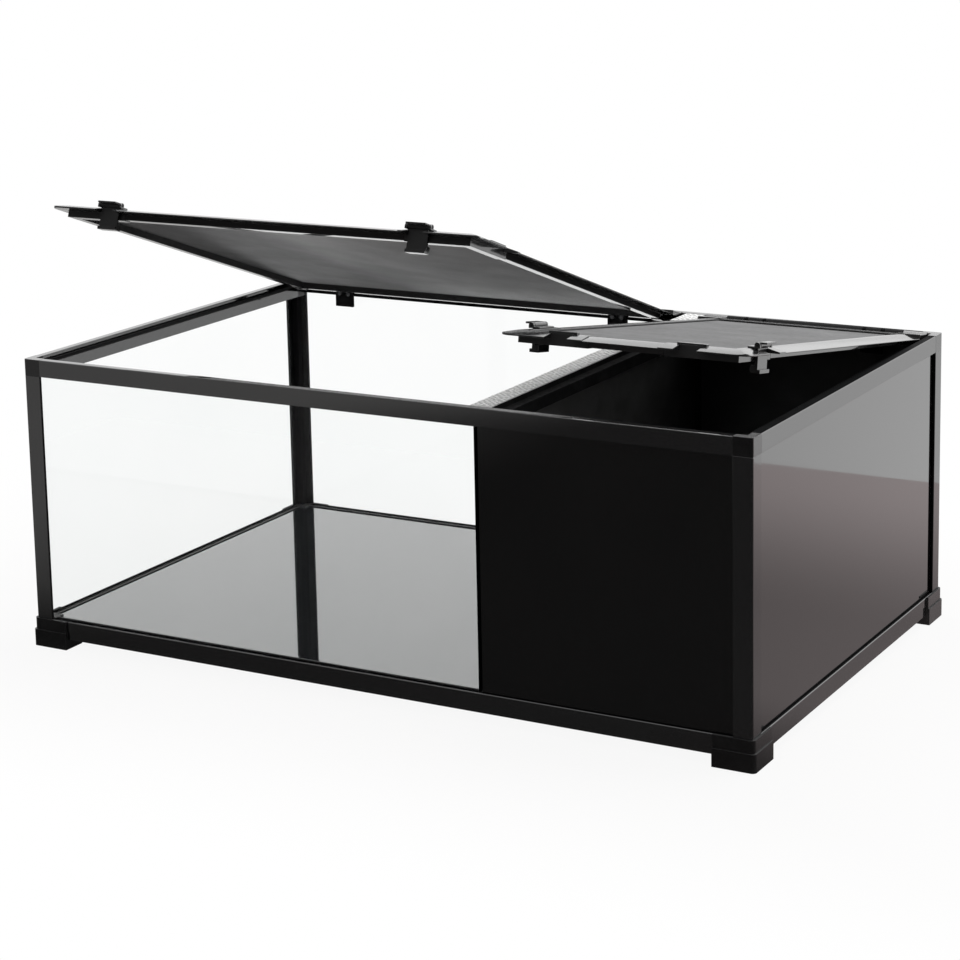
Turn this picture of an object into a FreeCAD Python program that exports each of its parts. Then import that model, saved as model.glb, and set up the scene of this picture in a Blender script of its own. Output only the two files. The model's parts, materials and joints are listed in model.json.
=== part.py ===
import FreeCAD, Part
import os
import re
import Sketcher

# A low glass terrarium: a framed tank with a clear habitat on the left, a dark hide on the right
# and a screen lid hinged along the back rail over each. Millimetres, +Z up, front is -Y.
# The origin is on the ground under the middle of the tank.

doc = FreeCAD.newDocument("glass_terrarium")

SIZES = {
    # Outside of the frame, and how far the feet lift it
    "length": 914,
    "width": 566,
    "frame_height": 334,
    "foot_drop": 12,
    # Rails and posts
    "rail_depth": 22,
    "rail_height": 20,
    "back_rail_height": 13,
    "base_height": 22,
    "rim_width": 10,
    "rebate_depth": 6.5,
    "edge_break": 0.8,
    "corner_radius": 2.5,
    # Panels and the grooves that hold them
    "glass_thickness": 4,
    "panel_setback": 3.5,
    "groove_clearance": 0.25,
    "groove_depth": 8,
    "pane_clearance": 0.5,
    # Chambers in the profiles and the spigots that fill their ends
    "profile_wall": 2,
    "spigot_length": 25,
    "spigot_clearance": 0.2,
    # Feet
    "foot_arm": 44,
    "foot_wall": 2.5,
    "foot_flare": 1.5,
    "foot_ridge": 8,
    "foot_tread": 26,
    "foot_radius": 5,
    # Floor
    "floor_thickness": 5,
    "floor_top": 20.5,
    "floor_web": 3.25,
    "floor_clearance": 0.3,
    "bead_width": 2.5,
    # Divider between habitat and hide
    "divider_place": 601,
    "divider_thickness": 5,
    "divider_rail_width": 27,
    "divider_lip": 2.5,
    "divider_lip_drop": 8,
    "divider_clearance": 0.3,
    "strip_width": 25,
    "strip_thickness": 1.2,
    "channel_width": 13,
    "channel_depth": 12,
    "channel_web": 3.5,
    "doorway_width": 160,
    "doorway_height": 150,
    # Lid frames
    "lid_gap": 3,
    "seat_gap": 0.5,
    "flange_thickness": 5,
    "flange_edge": 1,
    "lid_overhang": 17,
    "lid_height": 11.5,
    "bar_width": 12,
    "back_setback": 14,
    "bar_wall": 1.2,
    "bar_spigot": 20,
    "corner_arm": 82,
    "corner_height": 12.5,
    "corner_rise": 0.8,
    "screen_seat": 4,
    "screen_drop": 3.2,
    "screen_thickness": 0.5,
    "screen_bar": 3.5,
    "screen_clearance": 0.25,
    "spline_width": 3,
    "spline_height": 2.2,
    # Hinges along the back
    "left_hinge_inset": 84,
    "right_hinge_inset": 66,
    "hinge_gap": 0.8,
    "barrel_radius": 4,
    "pin_radius": 1.5,
    "pin_clearance": 0.05,
    "pin_seat": 0.02,
    "pin_overhang": 5,
    "bracket_width": 27,
    "bracket_ear": 3.5,
    "bracket_plate": 3.4,
    "bracket_drop": 20,
    "screw_spacing": 13,
    "bracket_arm": 3,
    "ear_radius": 4.2,
    "ear_clearance": 0.5,
    "screw_radius": 1.5,
    "screw_length": 8,
    "screw_head_radius": 2.6,
    "screw_head": 1,
    # Clips near the front corners of the lids
    "left_clip_along": 63,
    "right_clip_along": 52,
    "clip_width": 25,
    "clip_gap": 0.5,
    "clip_stand": 4,
    "clip_barrel": 3.2,
    "clip_shank": 3,
    "clip_reach": 28.8,
    "clip_nose": 2.8,
    "clip_nose_height": 3.8,
    "clip_heel": 8,
    "clip_heel_height": 8,
    "clip_tab": 9,
    "clip_tab_thickness": 2,
    "clip_ear": 3.5,
    "clip_bridge": 2,
    "clip_bridge_depth": 6,
    # How far each lid stands open at rest
    "left_open_angle": 19.4,
    "right_open_angle": 8.8,
}

sheet = doc.addObject("Spreadsheet::Sheet", "Sizes")
for row, (alias, value) in enumerate(SIZES.items(), 1):
    sheet.set(f"A{row}", alias)
    sheet.set(f"B{row}", str(value))
    sheet.setAlias(f"B{row}", alias)
doc.recompute()

ALIAS = re.compile(r"\b(" + "|".join(SIZES) + r")\b")
NODES = []

# Heights and lines that many pieces share
FRAME_TOP = "(foot_drop + frame_height)"
LEDGE = f"({FRAME_TOP} - rebate_depth)"
RAIL_LOW = f"({FRAME_TOP} - rail_height)"
BACK_LOW = f"({FRAME_TOP} - back_rail_height)"
BASE_TOP = "(foot_drop + base_height)"
FLOOR_TOP = "(foot_drop + floor_top)"
GROOVE_OUT = "(panel_setback - groove_clearance)"
GROOVE_IN = "(panel_setback + glass_thickness + groove_clearance)"
PANEL_IN = "(panel_setback + glass_thickness)"
WEB_IN = f"({GROOVE_IN} + floor_web)"
LEFT = "(-length / 2)"
FRONT = "(-width / 2)"
DIVIDER = "(divider_place - length / 2)"
HINGE_Y = "(width / 2 - rim_width - hinge_gap - barrel_radius)"
HINGE_Z = f"({LEDGE} + seat_gap + barrel_radius)"


def bind(item, name, text):
    item.setExpression(name, ALIAS.sub(r"Sizes.\1", text))


def set_place(item, x, y, z):
    for name, text in zip("xyz", (x, y, z)):
        bind(item, f"Placement.Base.{name}", text)


def keep(item, label):
    item.Label = label
    NODES.append(item)
    return item


def box(x, y, z, to_x, to_y, to_z):
    item = doc.addObject("Part::Box", "block")
    bind(item, "Length", f"({to_x}) - ({x})")
    bind(item, "Width", f"({to_y}) - ({y})")
    bind(item, "Height", f"({to_z}) - ({z})")
    set_place(item, x, y, z)
    return item


def rod(x, y, z, to_x, radius):
    item = doc.addObject("Part::Cylinder", "rod")
    item.Placement.Rotation = FreeCAD.Rotation(FreeCAD.Vector(0, 1, 0), 90)
    bind(item, "Radius", radius)
    bind(item, "Height", f"({to_x}) - ({x})")
    set_place(item, x, y, z)
    return item


def rod_back(x, y, z, to_y, radius):
    item = doc.addObject("Part::Cylinder", "rod")
    item.Placement.Rotation = FreeCAD.Rotation(FreeCAD.Vector(1, 0, 0), -90)
    bind(item, "Radius", radius)
    bind(item, "Height", f"({to_y}) - ({y})")
    set_place(item, x, y, z)
    return item


def rod_up(x, y, z, to_z, radius):
    item = doc.addObject("Part::Cylinder", "rod")
    bind(item, "Radius", radius)
    bind(item, "Height", f"({to_z}) - ({z})")
    set_place(item, x, y, z)
    return item


def fuse(*items):
    item = doc.addObject("Part::MultiFuse", "joined")
    item.Shapes = list(items)
    item.Refine = True
    return item


def cut(base, *tools):
    for tool in tools:
        item = doc.addObject("Part::Cut", "cut")
        item.Base = base
        item.Tool = tool
        base = item
    return base


def group(*items):
    item = doc.addObject("Part::Compound", "set")
    item.Links = list(items)
    return item


def add_loop(sketch, corners):
    """Closed polygon whose corners are held by distances from the sketch's origin."""
    first = sketch.GeometryCount
    count = len(corners)
    spots = [FreeCAD.Vector(10 + step, 10 + step * step, 0) for step in range(count)]
    for step in range(count):
        sketch.addGeometry(Part.LineSegment(spots[step], spots[(step + 1) % count]))
    for step in range(count):
        following = (step + 1) % count
        sketch.addConstraint(Sketcher.Constraint("Coincident", first + step, 2, first + following, 1))
    for step, corner in enumerate(corners):
        for kind, axis, text in zip(("DistanceX", "DistanceY"), (-2, -1), corner):
            if text == "0":
                sketch.addConstraint(Sketcher.Constraint("PointOnObject", first + step, 1, axis))
                continue
            number = sketch.addConstraint(Sketcher.Constraint(kind, -1, 1, first + step, 1, 10.0))
            bind(sketch, f"Constraints[{number}]", text)


def extrusion(label, plane, loops, run):
    """Profile body: closed loops of (across, up) texts, drawn on an origin plane and padded."""
    body = doc.addObject("PartDesign::Body", label)
    sketch = body.newObject("Sketcher::SketchObject", "profile")
    support = [item for item in body.Origin.OriginFeatures if item.Role == plane]
    sketch.AttachmentSupport = [(support[0], "")]
    sketch.MapMode = "FlatFace"
    for corners in loops:
        add_loop(sketch, corners)
    pad = body.newObject("PartDesign::Pad", "run")
    pad.Profile = sketch
    bind(pad, "Length", run)
    doc.recompute()
    return body


def round_upright(body, x, y, radius):
    """Round the body's upright edges that stand at (x, y) in its own frame."""
    tip = body.Tip
    names = []
    for number, edge in enumerate(tip.Shape.Edges, 1):
        ends = [vertex.Point for vertex in edge.Vertexes]
        upright = len(ends) == 2 and abs(ends[0].z - ends[1].z) > 1
        if upright and all(abs(end.x - x) < 0.01 and abs(end.y - y) < 0.01 for end in ends):
            names.append(f"Edge{number}")
    rounding = body.newObject("PartDesign::Fillet", "rounding")
    rounding.Base = (tip, names)
    bind(rounding, "Radius", radius)
    body.Tip = rounding


def turn(item, corner, z):
    """Stand a corner-frame piece at one of the tank's four corners."""
    x, y, (along_x, along_y) = corner
    first_arm = FreeCAD.Vector(along_x, along_y, 0)
    second_arm = FreeCAD.Vector(-along_y, along_x, 0)
    item.Placement.Rotation = FreeCAD.Rotation(first_arm, second_arm, FreeCAD.Vector(0, 0, 1), "XYZ")
    set_place(item, x, y, z)


def tilt(item, angle):
    """Swing a lid piece, drawn shut with its hinge axis along x, to its open angle."""
    item.Placement.Rotation = FreeCAD.Rotation(FreeCAD.Vector(-1, 0, 0), 1)
    bind(item, "Placement.Rotation.Angle", angle)
    set_place(item, "0", HINGE_Y, HINGE_Z)


# The four corners: outer corner, and the direction of the side that a corner piece's first arm runs along
CORNERS = {
    "front_left": (LEFT, FRONT, (1, 0)),
    "front_right": ("length / 2", FRONT, (0, 1)),
    "back_right": ("length / 2", "width / 2", (-1, 0)),
    "back_left": (LEFT, "width / 2", (0, -1)),
}
SIDES = {
    "front": ("front_left", "length"),
    "right": ("front_right", "width"),
    "back": ("back_right", "length"),
    "left": ("back_left", "width"),
}

# Heights of the top rails, and the two sides that each corner's arms run along
TOP_HEIGHTS = {
    "front": "rail_height",
    "right": "rail_height",
    "back": "back_rail_height",
    "left": "rail_height",
}
ARMS = {
    "front_left": ("front", "left"),
    "front_right": ("right", "front"),
    "back_right": ("back", "right"),
    "back_left": ("left", "back"),
}

# Chambers of the profiles, as (across, up) ranges
BASE_CHAMBER = (
    "profile_wall",
    "rail_depth - profile_wall",
    "profile_wall",
    "floor_top - floor_thickness - profile_wall",
)
POST_CHAMBER = (GROOVE_OUT, "rail_depth - groove_depth - profile_wall")


def chamber_loop(low_across, high_across, low_up, high_up):
    return [(low_across, low_up), (high_across, low_up), (high_across, high_up), (low_across, high_up)]


def top_chamber(low, top):
    """Chamber of a top rail whose underside and top are at the given heights."""
    across = (f"{GROOVE_IN} + profile_wall", "rail_depth - profile_wall")
    return (*across, f"{low} + profile_wall", f"{top} - rebate_depth - profile_wall")


def top_rails():
    for side, (corner, size) in SIDES.items():
        height = TOP_HEIGHTS[side]
        outline = [
            ("0", "0"),
            (GROOVE_OUT, "0"),
            (GROOVE_OUT, "groove_depth"),
            (GROOVE_IN, "groove_depth"),
            (GROOVE_IN, "0"),
            ("rail_depth", "0"),
            ("rail_depth", f"{height} - rebate_depth"),
            ("rim_width", f"{height} - rebate_depth"),
            ("rim_width", f"{height} - edge_break"),
            ("rim_width - edge_break", height),
            ("edge_break", height),
            ("0", f"{height} - edge_break"),
        ]
        label = f"top_rail_{side}"
        loops = [outline, chamber_loop(*top_chamber("0", height))]
        rail = extrusion(label, "YZ_Plane", loops, f"{size} - 2 * rail_depth")
        stand_rail(keep(rail, label), corner, f"{FRAME_TOP} - {height}")


def bottom_rails():
    outline = [
        ("0", "0"),
        ("rail_depth", "0"),
        ("rail_depth", "floor_top - floor_thickness"),
        (WEB_IN, "floor_top - floor_thickness"),
        (WEB_IN, "base_height"),
        (GROOVE_IN, "base_height"),
        (GROOVE_IN, "base_height - groove_depth"),
        (GROOVE_OUT, "base_height - groove_depth"),
        (GROOVE_OUT, "base_height"),
        ("edge_break", "base_height"),
        ("0", "base_height - edge_break"),
    ]
    for side, (corner, size) in SIDES.items():
        label = f"bottom_rail_{side}"
        loops = [outline, chamber_loop(*BASE_CHAMBER)]
        rail = extrusion(label, "YZ_Plane", loops, f"{size} - 2 * rail_depth")
        stand_rail(keep(rail, label), corner, "foot_drop")


def stand_rail(rail, corner, z):
    """A rail starts one post's width along its side from the corner that it leaves."""
    x, y, along = CORNERS[corner]
    turn(rail, (f"{x} + {along[0]} * rail_depth", f"{y} + {along[1]} * rail_depth", along), z)


def posts():
    """Angles with a hollow core in the corner; the panels' upright edges stand behind their legs."""
    core = "rail_depth - groove_depth"
    outline = [
        ("0", "0"),
        ("rail_depth", "0"),
        ("rail_depth", GROOVE_OUT),
        (core, GROOVE_OUT),
        (core, core),
        (GROOVE_OUT, core),
        (GROOVE_OUT, "rail_depth"),
        ("0", "rail_depth"),
    ]
    chamber = chamber_loop(*POST_CHAMBER, *POST_CHAMBER)
    for name, corner in CORNERS.items():
        label = f"post_{name}"
        post = extrusion(label, "XY_Plane", [outline, chamber], f"{RAIL_LOW} - {BASE_TOP}")
        round_upright(post, 0, 0, "corner_radius")
        turn(keep(post, label), corner, BASE_TOP)


def spigot(chamber, start, along):
    """Block that fills the end of a rail's chamber, in a corner piece's own frame."""
    low, high, low_up, high_up = chamber
    reach = f"{start} + spigot_length"
    across = (f"{low} + spigot_clearance", f"{high} - spigot_clearance")
    up = (f"{low_up} + spigot_clearance", f"{high_up} - spigot_clearance")
    if along == "x":
        return box(start, across[0], up[0], reach, across[1], up[1])
    return box(across[0], start, up[0], across[1], reach, up[1])


def post_spigot(low, high):
    start = f"{POST_CHAMBER[0]} + spigot_clearance"
    end = f"{POST_CHAMBER[1]} - spigot_clearance"
    return box(start, start, low, end, end, high)


def rounded(base, radius, *spots):
    """Copy of a solid drawn in its own frame, its upright edges at the given spots rounded."""
    doc.recompute()
    item = doc.addObject("Part::Fillet", "rounding")
    item.Base = base
    chosen = []
    for number, edge in enumerate(base.Shape.Edges, 1):
        ends = [vertex.Point for vertex in edge.Vertexes]
        for x, y in spots:
            if len(ends) == 2 and all(abs(end.x - x) < 0.01 and abs(end.y - y) < 0.01 for end in ends):
                chosen.append((number, SIZES[radius], SIZES[radius]))
    item.Edges = chosen
    return item


def pane_slots(low, first_high, second_high):
    """Tools for the slots in a corner piece's two arms that let panel corners in."""
    start = "rail_depth - groove_depth"
    end = "rail_depth + 1"
    return (
        box(start, GROOVE_OUT, low, end, GROOVE_IN, first_high),
        box(GROOVE_OUT, start, low, GROOVE_IN, end, second_high),
    )


def top_caps():
    for name, corner in CORNERS.items():
        block = box("0", "0", "0", "rail_depth", "rail_depth", "rail_height")
        ledge = "rail_height - rebate_depth"
        rebate = box("rim_width", "rim_width", ledge, "rail_depth + 1", "rail_depth + 1", "rail_height + 1")
        first, second = [f"rail_height - {TOP_HEIGHTS[side]}" for side in ARMS[name]]
        slots = pane_slots("-1", f"{first} + groove_depth", f"{second} + groove_depth")
        solid = fuse(
            cut(block, rebate, *slots),
            spigot(top_chamber(first, "rail_height"), "rail_depth", "x"),
            spigot(top_chamber(second, "rail_height"), "rail_depth", "y"),
            post_spigot("-spigot_length", "0"),
        )
        cap = rounded(solid, "corner_radius", (0, 0))
        turn(keep(cap, f"top_cap_{name}"), corner, RAIL_LOW)


def foot_tier(out, low, high):
    """Two arms of one tier of a foot, standing proud of the frame by out."""
    return (
        box(f"-({out})", f"-({out})", low, "foot_arm", "0", high),
        box(f"-({out})", "0", low, "0", "foot_arm", high),
    )


def feet():
    flared = "foot_wall + foot_flare"
    upper = -SIZES["foot_wall"]
    lower = upper - SIZES["foot_flare"]
    core = box("0", "0", "0", "rail_depth", "rail_depth", "base_height")
    slot_top = "base_height + 1"
    slotted = cut(core, *pane_slots("base_height - groove_depth", slot_top, slot_top))
    for name, corner in CORNERS.items():
        solid = fuse(
            *foot_tier("foot_wall", "foot_ridge", "base_height"),
            *foot_tier(flared, "0", "foot_ridge"),
            box(f"-({flared})", f"-({flared})", "-foot_drop", "foot_arm", "foot_tread", "0"),
            box(f"-({flared})", "foot_tread", "-foot_drop", "foot_tread", "foot_arm", "0"),
            slotted,
            spigot(BASE_CHAMBER, "rail_depth", "x"),
            spigot(BASE_CHAMBER, "rail_depth", "y"),
            post_spigot("base_height", "base_height + spigot_length"),
        )
        foot = rounded(solid, "foot_radius", (upper, upper), (lower, lower))
        turn(keep(foot, f"foot_{name}"), corner, "foot_drop")


def panels():
    seat = "rail_depth - groove_depth + pane_clearance"
    low = f"{BASE_TOP} - groove_depth"
    high = f"{RAIL_LOW} + groove_depth - pane_clearance"
    back_high = f"{BACK_LOW} + groove_depth - pane_clearance"
    left, right = f"{LEFT} + {seat}", f"length / 2 - ({seat})"
    front, back = f"{FRONT} + {seat}", f"width / 2 - ({seat})"
    joint_left, joint_right = f"{DIVIDER} - pane_clearance / 2", f"{DIVIDER} + pane_clearance / 2"
    across = {
        "front": (f"{FRONT} + panel_setback", f"{FRONT} + {PANEL_IN}", high),
        "back": (f"width / 2 - {PANEL_IN}", "width / 2 - panel_setback", back_high),
    }
    for side, (near, far, top) in across.items():
        keep(box(left, near, low, joint_left, far, top), f"{side}_glass")
        keep(box(joint_right, near, low, right, far, top), f"{side}_hide_panel")
    keep(box(f"{LEFT} + panel_setback", front, low, f"{LEFT} + {PANEL_IN}", back, high), "left_glass")
    right_panel = box(f"length / 2 - {PANEL_IN}", front, low, "length / 2 - panel_setback", back, high)
    keep(right_panel, "right_hide_panel")


def floor():
    edge = f"{WEB_IN} + floor_clearance"
    low = f"{FLOOR_TOP} - floor_thickness"
    inset = "rail_depth + floor_clearance"
    sheet_box = box(
        f"{LEFT} + {edge}",
        f"{FRONT} + {edge}",
        low,
        f"length / 2 - ({edge})",
        f"width / 2 - ({edge})",
        FLOOR_TOP,
    )
    corners = []
    for x in (LEFT, f"length / 2 - ({inset})"):
        for y in (FRONT, f"width / 2 - ({inset})"):
            corners.append(box(x, y, low, f"{x} + {inset}", f"{y} + {inset}", f"{FLOOR_TOP} + 1"))
    keep(cut(sheet_box, *corners), "floor_panel")
    along_x = (f"{LEFT} + rail_depth", "length / 2 - rail_depth")
    along_y = (f"{FRONT} + rail_depth", "width / 2 - rail_depth")
    bead = f"{WEB_IN} + bead_width"
    beads = group(
        box(along_x[0], f"{FRONT} + {WEB_IN}", FLOOR_TOP, along_x[1], f"{FRONT} + {bead}", BASE_TOP),
        box(along_x[0], f"width / 2 - ({bead})", FLOOR_TOP, along_x[1], f"width / 2 - {WEB_IN}", BASE_TOP),
        box(f"{LEFT} + {WEB_IN}", along_y[0], FLOOR_TOP, f"{LEFT} + {bead}", along_y[1], BASE_TOP),
        box(f"length / 2 - ({bead})", along_y[0], FLOOR_TOP, f"length / 2 - {WEB_IN}", along_y[1], BASE_TOP),
    )
    keep(beads, "floor_seal_beads")


def divider():
    left, right = f"{DIVIDER} - divider_thickness / 2", f"{DIVIDER} + divider_thickness / 2"
    end = f"({WEB_IN} + bead_width + divider_clearance)"
    sheet_box = box(
        left, f"{FRONT} + {end}", FLOOR_TOP, right, f"width / 2 - {end}", f"{RAIL_LOW} - divider_clearance"
    )
    spring = f"{FLOOR_TOP} + doorway_height - doorway_width / 2"
    before, beyond = f"{left} - 1", f"{right} + 1"
    doorway = fuse(
        box(before, "-doorway_width / 2", f"{FLOOR_TOP} - 1", beyond, "doorway_width / 2", spring),
        rod(before, "0", spring, beyond, "doorway_width / 2"),
    )
    keep(cut(sheet_box, doorway), "divider_panel")

    slot = "(divider_thickness / 2 + divider_clearance)"
    channels = []
    for outer, inner, slot_end, head in (
        (f"{FRONT} + {PANEL_IN}", f"{FRONT} + {PANEL_IN} + channel_depth", "1", RAIL_LOW),
        (f"width / 2 - {PANEL_IN} - channel_depth", f"width / 2 - {PANEL_IN}", "-1", BACK_LOW),
    ):
        side_left, side_right = f"{DIVIDER} - channel_width / 2", f"{DIVIDER} + channel_width / 2"
        block = box(side_left, outer, BASE_TOP, side_right, inner, head)
        shift = f"{slot_end} * channel_web"
        channels.append(
            cut(
                block,
                box(
                    f"{DIVIDER} - {slot}",
                    f"{outer} + {shift}",
                    f"{BASE_TOP} - 1",
                    f"{DIVIDER} + {slot}",
                    f"{inner} + {shift}",
                    f"{head} + 1",
                ),
            )
        )
    keep(group(*channels), "divider_channels")

    middle = "(divider_rail_width / 2 + rail_depth - rim_width)"
    drop = "divider_lip_drop"
    ledge_top = f"{drop} + rail_height - rebate_depth"
    top = f"{drop} + rail_height - strip_thickness"
    half = [
        (f"{slot}", drop),
        (f"{slot}", "0"),
        (f"{slot} + divider_lip", "0"),
        (f"{slot} + divider_lip", drop),
        (middle, drop),
        (middle, ledge_top),
        ("divider_rail_width / 2", ledge_top),
        ("divider_rail_width / 2", top),
    ]
    right_half = [(f"{middle} + {across}", up) for across, up in half]
    left_half = [("0" if across == middle else f"{middle} - ({across})", up) for across, up in reversed(half)]
    rail = extrusion("divider_profile", "YZ_Plane", [right_half + left_half], "width - 2 * rail_depth")
    turn(rail, (f"{DIVIDER} + {middle}", f"{FRONT} + rail_depth", (0, 1)), f"{RAIL_LOW} - {drop}")
    near, far = f"{FRONT} + rim_width + divider_clearance", "width / 2 - rim_width - divider_clearance"
    low, high = f"{DIVIDER} - divider_rail_width / 2", f"{DIVIDER} + divider_rail_width / 2"
    strip_low = f"{FRAME_TOP} - strip_thickness"
    tongues = [
        box(low, start, LEDGE, high, end, strip_low)
        for start, end in ((near, f"{FRONT} + rail_depth"), ("width / 2 - rail_depth", far))
    ]
    keep(fuse(rail, *tongues), "divider_rail")
    strip = box(
        f"{DIVIDER} - strip_width / 2", near, strip_low, f"{DIVIDER} + strip_width / 2", far, FRAME_TOP
    )
    keep(strip, "divider_ribbed_strip")


# Lid pieces are drawn shut, in a frame whose x axis is the hinge axis
LID_DEPTH = f"({HINGE_Y} - {FRONT} - rim_width - lid_gap)"
FLANGE_LOW = "(-barrel_radius)"
FLANGE_TOP = "(flange_thickness - barrel_radius)"
SKIRT_LOW = f"({FLANGE_TOP} - lid_height)"
CORNER_LOW = f"({FLANGE_TOP} - corner_height)"
CORNER_TOP = f"({FLANGE_TOP} + corner_rise)"
SEAT_LOW = f"({FLANGE_TOP} - screen_drop)"
FRONT_EDGE = f"(-{LID_DEPTH})"
FRONT_SKIRT = f"({FRONT_EDGE} + lid_overhang)"
FRONT_INNER = f"({FRONT_SKIRT} + bar_width)"
ARM_BACK = f"({FRONT_SKIRT} + corner_arm)"
BACK_SKIRT = "(-back_setback)"
BACK_INNER = "(-back_setback - bar_width)"
CHAMBER_UP = (f"{SKIRT_LOW} + bar_wall", f"{SEAT_LOW} - bar_wall")
LIDS = {
    "left_lid": (
        f"({LEFT} + rim_width + lid_gap)",
        f"({DIVIDER} - divider_rail_width / 2 - lid_gap)",
        "left_open_angle",
        "left_hinge_inset",
        "left_clip_along",
    ),
    "right_lid": (
        f"({DIVIDER} + divider_rail_width / 2 + lid_gap)",
        "(length / 2 - rim_width - lid_gap)",
        "right_open_angle",
        "right_hinge_inset",
        "right_clip_along",
    ),
}
SCREEN_COLUMNS = {"left_lid": 12, "right_lid": 5}
SCREEN_ROWS = 11
PLATE_BACK = "(rim_width + hinge_gap + barrel_radius - rail_depth)"
PLATE_FRONT = f"({PLATE_BACK} - bracket_plate)"
PLATE_TOP = "(-barrel_radius - seat_gap - ear_clearance)"
CLIP_Y = "(-clip_stand)"
CLIP_Z = f"({CORNER_TOP} + clip_barrel)"
CLIP_HALF = "(clip_width / 2 + clip_gap)"


def ear_spans(centre):
    """Where the two ears of a hinge bracket begin and end along the hinge."""
    low, high = f"{centre} - bracket_width / 2", f"{centre} + bracket_width / 2"
    return ((low, f"{low} + bracket_ear"), (f"{high} - bracket_ear", high))


def snug(span):
    return (f"{span[0]} + spigot_clearance", f"{span[1]} - spigot_clearance")


def bar_spigot(x_span, y_span):
    """Arm of a lid corner piece; it fills a bar's chamber less a clearance all round."""
    low, high = snug(CHAMBER_UP)
    return box(x_span[0], y_span[0], low, x_span[1], y_span[1], high)


def stations(x_low, x_high, along):
    """Where clips can stand on a lid: a place on the skirt's face, and the direction along that skirt."""
    left, right = f"({x_low} + lid_overhang)", f"({x_high} - lid_overhang)"
    back = f"({FRONT_SKIRT} + {along})"
    return {
        "front_left": (f"({left} + {along})", FRONT_SKIRT, (1, 0)),
        "front_right": (f"({right} - {along})", FRONT_SKIRT, (1, 0)),
        "side_left": (left, back, (0, -1)),
        "side_right": (right, back, (0, 1)),
    }


def slope(station, rise):
    """Tool that slopes a flange from the top at the skirt down to its thin edge, raised by rise."""
    top, edge = f"({FLANGE_TOP} + {rise})", f"({FLANGE_LOW} + flange_edge + {rise})"
    item = doc.addObject("Part::Wedge", "slope")
    for name, text in (
        ("Xmin", "-length"),
        ("X2min", "-length"),
        ("Xmax", "length"),
        ("X2max", "length"),
        ("Ymin", "-2 * lid_overhang"),
        ("Ymax", "0"),
        ("Zmin", f"2 * {edge} - {top}"),
        ("Z2min", top),
        ("Zmax", f"{top} + lid_height"),
        ("Z2max", f"{top} + lid_height"),
    ):
        bind(item, name, text)
    tool = group(item)
    turn(tool, station, "0")
    return tool


def flange_corner(edge_low, edge_high, skirt):
    """Tool that rounds a flange's outer corner about the corner of the skirt."""
    low, high = f"{FLANGE_LOW} - 1", f"{CORNER_TOP} + 1"
    block = box(edge_low, f"{FRONT_EDGE} - 1", low, edge_high, FRONT_SKIRT, high)
    return cut(block, rod_up(skirt, FRONT_SKIRT, f"{low} - 1", f"{high} + 1", "lid_overhang"))


def screen_grid(edges, high, columns):
    """Flat bars that cross in one plane; they stand for the fine wires of a screen."""
    left, front, right, back = [f"({edge})" for edge in edges]
    bars = []
    for step in range(columns + 1):
        x = f"{left} + ({right} - {left} - screen_bar) * {step} / {columns}"
        bars.append(box(x, front, SEAT_LOW, f"{x} + screen_bar", back, high))
    for step in range(SCREEN_ROWS + 1):
        y = f"{front} + ({back} - {front} - screen_bar) * {step} / {SCREEN_ROWS}"
        bars.append(box(left, y, SEAT_LOW, right, f"{y} + screen_bar", high))
    return fuse(*bars)


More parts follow.
